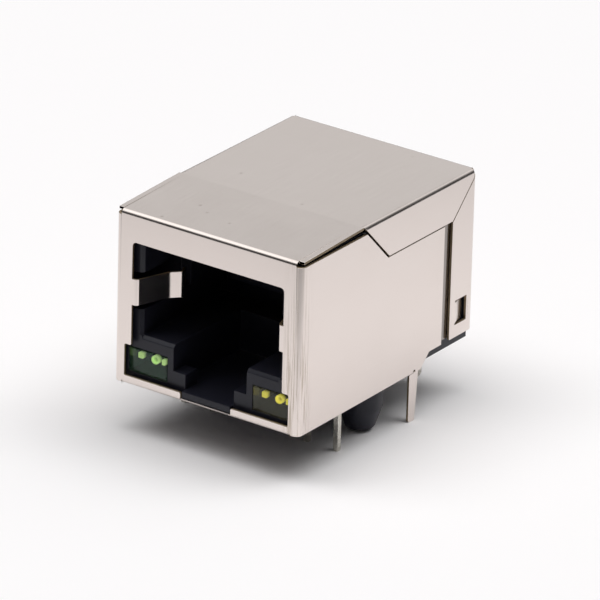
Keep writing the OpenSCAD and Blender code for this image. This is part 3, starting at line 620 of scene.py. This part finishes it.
def surface(name, grids, wrapRows=False, wrapCols=True, marks=None):
    # one mesh from several point grids of shape (rows, columns, 3); marks give one value a point
    points, faces, first = [], [], 0
    for grid in grids:
        rows, cols = grid.shape[:2]
        points.append(grid.reshape(-1, 3))
        faces.append(gridFaces(rows, cols, wrapRows, wrapCols, first))
        first += rows * cols
    points, faces = np.concatenate(points), np.concatenate(faces)
    mesh = bpy.data.meshes.new(name)
    mesh.vertices.add(len(points))
    mesh.vertices.foreach_set("co", points.astype(np.float32).ravel())
    mesh.loops.add(faces.size)
    mesh.loops.foreach_set("vertex_index", faces.astype(np.int32).ravel())
    mesh.polygons.add(len(faces))
    mesh.polygons.foreach_set("loop_start", np.arange(0, faces.size, 4, dtype=np.int32))
    mesh.update(calc_edges=True)
    for label, values in (marks or {}).items():
        mark = mesh.attributes.new(label, "FLOAT", "POINT")
        mark.data.foreach_set("value", values.astype(np.float32).ravel())
    work = bmesh.new()
    work.from_mesh(mesh)
    bmesh.ops.remove_doubles(work, verts=work.verts, dist=1e-8)
    bmesh.ops.recalc_face_normals(work, faces=work.faces)
    work.to_mesh(mesh)
    work.free()
    mesh.polygons.foreach_set("use_smooth", np.ones(len(mesh.polygons), bool))
    mesh.set_sharp_from_angle(angle=math.radians(40))
    return mesh


def roundedBlock(low, high, radius, axis=1, steps=4):
    # a rounded rectangle carried along the axis; near each end it shrinks by r(1 - cos f) while it
    # goes out by r(1 - sin f), and a last row at the centre closes it
    low, high = np.asarray(low, float), np.asarray(high, float)
    across = [k for k in range(3) if k != axis]
    half = (high - low)[across] / 2 - radius
    middle = (high + low) / 2
    turn = np.arange(4 * (steps + 1))
    quarter = turn // (steps + 1)
    angle = (quarter + (turn % (steps + 1)) / steps) * math.pi / 2
    right, upper = (quarter == 0) | (quarter == 3), quarter < 2
    signs = np.stack([np.where(right, 1, -1), np.where(upper, 1, -1)], -1)
    corner = signs * half
    spoke = np.stack([np.cos(angle), np.sin(angle)], -1)
    f = np.linspace(math.pi / 2, 0, steps + 1)
    less, inward = radius * (1 - np.cos(f)), radius * (1 - np.sin(f))
    shrink = np.concatenate([less, less[::-1]])
    out = np.concatenate([low[axis] + inward, high[axis] - inward[::-1]])
    rows = corner[None] + (radius - shrink)[:, None, None] * spoke[None]
    rows = np.concatenate([rows[:1] * 0, rows, rows[-1:] * 0])
    out = np.concatenate([out[:1], out, out[-1:]])
    grid = np.zeros((*rows.shape[:2], 3))
    grid[..., across] = rows + middle[across]
    grid[..., axis] = out[:, None]
    return grid


def tube(path, radius, sides=8, closed=False):
    # a circle carried along the path: point + r(cos a * n + sin a * b), n and b square to the path
    ahead = np.roll(path, -1, 0) if closed else np.concatenate([path[1:], path[-1:]])
    behind = np.roll(path, 1, 0) if closed else np.concatenate([path[:1], path[:-1]])
    tangent = ahead - behind
    tangent /= np.linalg.norm(tangent, axis=1, keepdims=True)
    guide = np.where(np.abs(tangent[:, 2:]) < 0.9, [[0.0, 0.0, 1.0]], [[1.0, 0.0, 0.0]])
    normal = np.cross(tangent, guide)
    normal /= np.linalg.norm(normal, axis=1, keepdims=True)
    binormal = np.cross(tangent, normal)
    a = np.linspace(0, 2 * math.pi, sides, endpoint=False)
    across, along = np.cos(a)[None, :, None], np.sin(a)[None, :, None]
    return path[:, None] + radius * (across * normal[:, None] + along * binormal[:, None])


def turnedProfile(radii, heights, centre, sides=24):
    # a profile (radius, height) turned about a vertical axis
    a = np.linspace(0, 2 * math.pi, sides, endpoint=False)
    r, h = np.asarray(radii)[:, None], np.asarray(heights)[:, None]
    x, y = r * np.cos(a), r * np.sin(a)
    return np.stack([x + centre[0], y + centre[1], h + centre[2] + 0 * a], -1)


tongueSet = {
    "gap": (7.72 * mm, 7.78 * mm),
    "run": (6.3 * mm, 7.85 * mm),
    "high": (1.4 * mm, 12.4 * mm),
}


def makeTongues(s):
    # a thin strip that lies behind the slot between each side wall and its rear wing, in the
    # plating at 0.4 brightness as painted shade
    (near, far), (fore, aft), (foot, head) = s["gap"], s["run"], s["high"]
    right = roundedBlock((near, fore, foot), (far, aft, head), 0.02 * mm, axis=2)
    grids = [right, right * np.array([-1.0, 1.0, 1.0])]
    addPiece(surface("slotTongues", grids), "slotTongues", materials["tongue"], "shield_sheet")


makeTongues(tongueSet)
print("slot tongues made")

lampSet = {"radius": 0.09 * mm}


def makeLamp(side, s, resin, slotName):
    # the resin block: a rounded rectangle carried along Y
    mesh = surface(f"{side}LampLens", [roundedBlock(*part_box(f"lamp_{side}"), s["radius"])])
    addPiece(mesh, f"{side}LampLens", resin, slotName, f"lamp_{side}")


makeLamp("left", lampSet, materials["resinGreen"], "lamp_green")
makeLamp("right", lampSet, materials["resinYellow"], "lamp_yellow")
print("lamps made")


# signal pins: square wire with a four-sided point at each end
pinSet = {"edge": 0.03 * mm, "point": 0.3 * mm}


def pinGrid(i, s):
    # rows: point, shoulder, shoulder, point; the square's corners are rounded
    low, high = (np.array(v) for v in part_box(f"signal_pin_{i}"))
    centre, half = (low + high) / 2, (high - low) / 2
    z = np.array([low[2], low[2], low[2] + s["point"], high[2] - s["point"], high[2], high[2]])
    wide = np.array([0.0, 0.5, 1.0, 1.0, 0.5, 0.0])
    turn = np.arange(12)
    angle = (turn // 3 + (turn % 3) / 2) * math.pi / 2
    diagonal = turn // 3 * math.pi / 2 + 0.7
    corner = np.sign(np.stack([np.cos(diagonal), np.sin(diagonal)], -1))
    spoke = np.stack([np.cos(angle), np.sin(angle)], -1)
    outline = corner * (half[:2] - s["edge"]) + s["edge"] * spoke
    xy = centre[:2] + wide[:, None, None] * outline[None]
    return np.concatenate([xy, np.broadcast_to(z[:, None, None], (6, 12, 1))], -1)


for i in range(1, 9):
    pin = surface(f"signalPin{i}", [pinGrid(i, pinSet)])
    addPiece(pin, f"signalPin{i}", materials["pin"], "tinned_pin", f"signal_pin_{i}")
print("signal pins made")


# magnetics: ferrite rings, each with two enamelled windings
coilSet = {
    "bore": 0.6 * mm,  # radius
    "wire": 0.075 * mm,
    "turns": 11,
    "steps": 20,
    "start": 0.15,
    "span": math.pi - 0.45,
}


def ringSection(rMiddle, halfWide, halfHigh, beta, power=0.45):
    # a squared circle round the ring's middle line: |cos|^p and |sin|^p with their signs
    c, s = np.cos(beta), np.sin(beta)
    radius = rMiddle + halfWide * np.sign(c) * np.abs(c) ** power
    return radius, halfHigh * np.sign(s) * np.abs(s) ** power


def ringPoints(centre, radius, out, alpha):
    # the ring's axis lies along X: (x + out, y + r cos a, z + r sin a)
    y, z = centre[1] + radius * np.cos(alpha), centre[2] + radius * np.sin(alpha)
    return np.stack([centre[0] + out, y, z], -1)


def makeRing(k, s):
    # the core is the squared section turned about X; a winding goes round that section once for
    # each turn while its angle moves along half the ring
    low, high = (np.array(v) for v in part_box(f"ring_core_{k}"))
    centre = (low + high) / 2
    outer, deep = (high[2] - low[2]) / 2, (high[0] - low[0]) / 2
    inner, wire = s["bore"], s["wire"]
    middle = (outer + inner) / 2
    halfWide, halfHigh = (outer - inner) / 2 - 2 * wire, deep - 2 * wire
    alpha, beta = (np.linspace(0, 2 * math.pi, n, endpoint=False) for n in (48, 24))
    alpha, beta = np.meshgrid(alpha, beta, indexing="ij")
    radius, out = ringSection(middle, halfWide, halfHigh, beta)
    core = surface(f"ferriteRing{k}", [ringPoints(centre, radius, out, alpha)], wrapRows=True)
    addPiece(core, f"ferriteRing{k}", materials["ferrite"], "wound_copper", f"ring_core_{k}")
    for colour, start in (("Red", s["start"]), ("Green", math.pi + s["start"])):
        t = np.linspace(0, 1, s["turns"] * s["steps"] + 1)
        alpha, beta = start + t * s["span"], 2 * math.pi * s["turns"] * t
        radius, out = ringSection(middle, halfWide + wire, halfHigh + wire, beta, 0.6)
        path = ringPoints(centre, radius, out, alpha)
        coil = surface(f"winding{colour}{k}", [tube(path, wire, 6)])
        addPiece(coil, f"winding{colour}{k}", materials[f"wire{colour}"], "wound_copper")


for k in range(1, 9):
    makeRing(k, coilSet)
print("windings made")

chipSet = {"edge": 0.06 * mm, "capShare": 0.2, "inset": 0.03 * mm, "overlap": 0.03}


def makeChip(nodeName, pieceName, material, slotName, axis, s):
    # three rounded blocks in a row along the axis: a cap, a body a little thinner that reaches
    # into both caps, and a cap
    low, high = (np.array(v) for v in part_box(nodeName))
    length, share = high[axis] - low[axis], s["capShare"]
    blocks, marks = [], []
    for a, b, cap in ((0.0, share, 1), (share, 1 - share, 0), (1 - share, 1.0, 1)):
        lo, hi = low.copy(), high.copy()
        if not cap:
            lo[:2] += s["inset"]
            hi -= s["inset"]
            a, b = a - s["overlap"], b + s["overlap"]
        lo[axis], hi[axis] = low[axis] + a * length, low[axis] + b * length
        grid = roundedBlock(lo, hi, s["edge"], axis)
        blocks.append(grid)
        marks.append(np.full(grid.shape[:2], float(cap)).ravel())
    mesh = surface(pieceName, blocks, marks={"endCap": np.concatenate(marks)})
    addPiece(mesh, pieceName, material, slotName, nodeName)


for i in range(1, 5):
    makeChip(f"resistor_{i}", f"chipResistor{i}", materials["resistor"], "chip_black", 1, chipSet)
makeChip("capacitor", "chipCapacitor", materials["capacitor"], "chip_tan", 0, chipSet)


filletSet = {"neck": 0.27 * mm, "spread": 0.25 * mm, "high": 0.3 * mm}


def makeFillets(s):
    # solder climbs each pin as a turned profile, neck + spread (1 - h)^2
    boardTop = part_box("circuit_board")[1][2]
    h = np.linspace(0, 1, 8)
    radii = np.concatenate([[0], s["neck"] + s["spread"] * (1 - h) ** 2, [0]])
    heights = np.concatenate([[0], h, [1]]) * s["high"]
    grids = []
    for i in range(1, 9):
        low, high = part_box(f"signal_pin_{i}")
        foot = ((low[0] + high[0]) / 2, (low[1] + high[1]) / 2, boardTop)
        grids.append(turnedProfile(radii, heights, foot))
    addPiece(surface("pinSolder", grids), "pinSolder", materials["solder"], "tinned_pin")


makeFillets(filletSet)
print("small board dressed")


# floor, world and light
studio = {
    "floor": (0.985, 0.97, 0.975),
    # painted shade: the colour the floor fades to where reflections and bounce light see it
    "floorPaintedShade": (0.03, 0.03, 0.03),
    "floorHalf": 1.5,
    "backdrop": (0.99, 0.975, 0.98),
    "cameraSide": (0.573, -0.82, 0.0),
    "fade": (20 * mm, 150 * mm),  # over this reach reflections see the floor go dark
    "ahead": (18 * mm, 60 * mm),  # and over this, toward the camera, to half
    # the tent's brightness at the sine of the elevation, behind the part and on the camera's side
    "behind": (
        *((0.0, 0.45), (0.25, 0.74), (0.36, 0.75), (0.41, 0.71)),
        *((0.47, 0.64), (0.62, 0.58), (0.8, 1.0), (1.0, 1.15)),
    ),
    "before": (
        *((0.0, 0.06), (0.30, 0.07), (0.44, 0.18), (0.56, 0.62)),
        *((0.66, 1.35), (0.80, 1.45), (1.0, 1.15)),
    ),
    "tentForFloor": 0.25,
    # a long narrow softbox overhead, its length turned by turn degrees from X, in metres and watts
    "overhead": {
        "power": 10.3,
        "long": 1.7,
        "narrow": 0.5,
        "place": (-0.03, -0.02, 1.0),
        "turn": 35.0,
    },
    "rearRight": {"strength": 0.22, "angle": 40.0, "toward": (0.50, 0.62, 0.95)},
}


def dot(tree, vector, direction):
    made = node(tree, "VectorMath", {0: vector, 1: direction}, operation="DOT_PRODUCT")
    return made.outputs["Value"]


def floorMaterial(s):
    # the camera sees an even pale floor; for reflections its colour carries painted shade, fading
    # to dark a hand's breadth away and to half toward the camera
    constants = {"Roughness": 0.9, "Specular IOR Level": 0.0}
    material, tree, shader = newMaterial("paleFloor", **constants)
    place = node(tree, "TexCoord").outputs["Object"]
    reach = node(tree, "VectorMath", {0: place}, operation="LENGTH").outputs["Value"]
    near = remap(tree, reach, *s["fade"], 1.0, 0.0, smooth=True)
    shade = remap(tree, dot(tree, place, s["cameraSide"]), *s["ahead"], 1.0, 0.5, smooth=True)
    bounceWithPaintedShade = blend(tree, maths(tree, "MULTIPLY", near, shade), s["floorPaintedShade"], s["floor"])
    seen = node(tree, "LightPath").outputs["Is Camera Ray"]
    tree.links.new(blend(tree, seen, bounceWithPaintedShade, s["floor"]), shader.inputs["Base Color"])
    return material


def makeFloor(s):
    # an even sheet under the lowest tips, as a grid over its two directions
    u = np.linspace(-1, 1, 9) * s["floorHalf"]
    x, y = np.meshgrid(u, u, indexing="ij")
    grid = np.stack([x, y, np.full_like(x, cadLow[2])], -1)
    mesh = surface("floor", [grid], wrapCols=False)
    mesh.materials.append(floorMaterial(s))
    floor = bpy.data.objects.new("floor", mesh)
    scene.collection.objects.link(floor)


def levels(tree, value, stops):
    # a smooth curve of brightness through (height, level) pairs, halved to fit a colour ramp
    ramp = node(tree, "ValToRGB", {0: value})
    ramp.color_ramp.interpolation = "EASE"
    while len(ramp.color_ramp.elements) < len(stops):
        ramp.color_ramp.elements.new(0.5)
    for element, (place, level) in zip(ramp.color_ramp.elements, stops):
        element.position, element.color = place, (level / 2, level / 2, level / 2, 1.0)
    return maths(tree, "MULTIPLY", ramp.outputs[0], 2.0)


def makeWorld(s):
    # a pale tent round the floor: even behind, on the camera's side dark low down and bright above
    world = bpy.data.worlds.new("studio")
    scene.world = world
    world.use_nodes = True
    tree = world.node_tree
    background = tree.nodes["Background"]
    way = node(tree, "TexCoord").outputs["Generated"]
    up = node(tree, "SeparateXYZ", {0: way}).outputs["Z"]
    toward = dot(tree, way, s["cameraSide"])
    turn = remap(tree, toward, -0.85, -0.2, smooth=True)
    tent = blendValue(tree, turn, levels(tree, up, s["behind"]), levels(tree, up, s["before"]))
    path = node(tree, "LightPath").outputs
    mirrored = maths(tree, "MAXIMUM", path["Is Glossy Ray"], path["Is Transmission Ray"])
    lit = maths(tree, "MULTIPLY", tent, blendValue(tree, mirrored, s["tentForFloor"], 1.0))
    grey = node(tree, "CombineXYZ", {0: lit, 1: lit, 2: lit}).outputs[0]
    shown = blend(tree, path["Is Camera Ray"], grey, s["backdrop"])
    tree.links.new(shown, background.inputs["Color"])


def makeSoftbox(name, lamp):
    data = bpy.data.lights.new(name, "AREA")
    data.shape, data.energy = "RECTANGLE", lamp["power"]
    data.size, data.size_y = lamp["long"], lamp["narrow"]
    piece = bpy.data.objects.new(name, data)
    scene.collection.objects.link(piece)
    piece.location = lamp["place"]
    piece.rotation_euler = (0.0, 0.0, math.radians(lamp["turn"]))
    piece.visible_glossy = False


def makeSun(name, lamp):
    data = bpy.data.lights.new(name, "SUN")
    data.energy, data.angle = lamp["strength"], math.radians(lamp["angle"])
    piece = bpy.data.objects.new(name, data)
    scene.collection.objects.link(piece)
    piece.rotation_euler = Vector(lamp["toward"]).to_track_quat("Z", "Y").to_euler()
    piece.visible_glossy = False


makeFloor(studio)
makeWorld(studio)
makeSoftbox("overhead", studio["overhead"])
makeSun("rearRight", studio["rearRight"])
scene.view_settings.view_transform = "Standard"
print("studio made")
